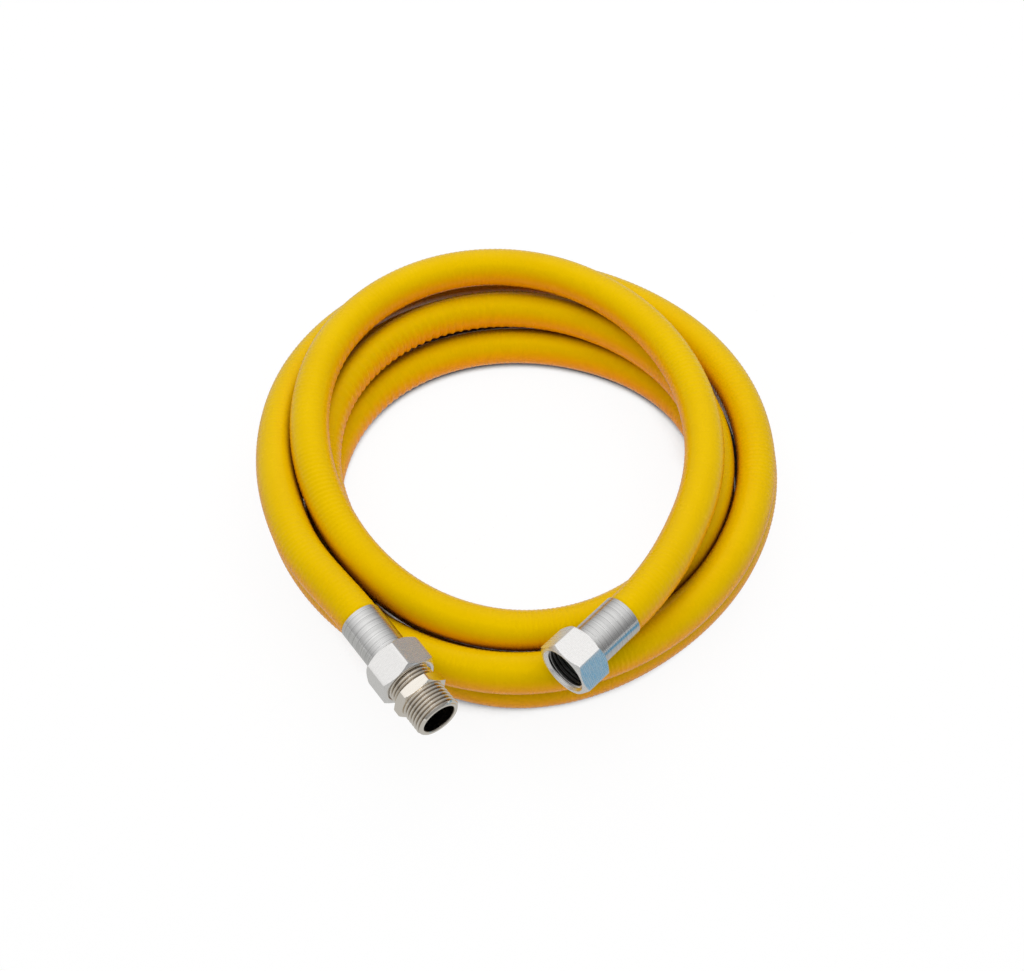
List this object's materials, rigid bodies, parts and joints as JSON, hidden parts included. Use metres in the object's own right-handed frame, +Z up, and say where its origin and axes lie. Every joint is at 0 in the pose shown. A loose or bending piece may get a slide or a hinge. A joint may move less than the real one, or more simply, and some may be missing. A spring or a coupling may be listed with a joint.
{
  "type": "flexible gas hose",
  "caption": "Coiled yellow-sheathed corrugated metal gas hose with a female swivel nut at one end and a male adapter nipple in the nut at the other.",
  "frame": {"origin": "middle of the coil's bounding box on the surface that it lies on", "axes": "+Z up out of the coil, -Y towards the two fittings, +X to the right seen from the fittings"},
  "size_m": [0.2555, 0.2966, 0.0669],
  "materials": {
    "yellow_sheath": "semi-gloss PVC drawn over the corrugations",
    "stainless_tube": "bright rolled stainless strip",
    "turned_ferrule": "fine turned lines",
    "steel_tail": "turned",
    "fibre_gasket": "matt pressed fibre",
    "satin_nut": "satin, drawn flats",
    "nickel_plate": "bright nickel plating on brass"
  },
  "bodies": {
    "hose": {"hose_sheath": "yellow_sheath", "corrugated_tube": "stainless_tube", "ferrule_male_end": "turned_ferrule", "ferrule_female_end": "turned_ferrule", "tail_male_end": "steel_tail", "tail_female_end": "steel_tail", "gasket_male_end": "fibre_gasket", "gasket_female_end": "fibre_gasket"},
    "male_end_nut": {"swivel_nut_male_end": "satin_nut"},
    "nipple": {"adapter_nipple": "nickel_plate"},
    "female_end_nut": {"swivel_nut_female_end": "satin_nut"}
  },
  "joints": [
    {"name": "female_nut_swivel", "type": "hinge", "parent": "hose", "child": "female_end_nut", "pos_m": [0.02272, -0.1178, 0.054], "axis": [-0.6984, -0.7157, 0], "continuous": true},
    {"name": "male_nut_turn", "type": "hinge", "parent": "hose", "child": "male_end_nut", "pos_m": [-0.04836, -0.12517, 0.0465], "axis": [-0.599, 0.8007, 0], "range_deg": [0, 1584]},
    {"name": "nipple_unscrew", "type": "slide", "parent": "hose", "child": "nipple", "axis": [0.599, -0.8007, 0], "range_m": [0, 0.008]}
  ],
  "couplings": [
    {"joint": "nipple_unscrew", "follows": "male_nut_turn", "m_per_rad": 0.00028871}
  ]
}
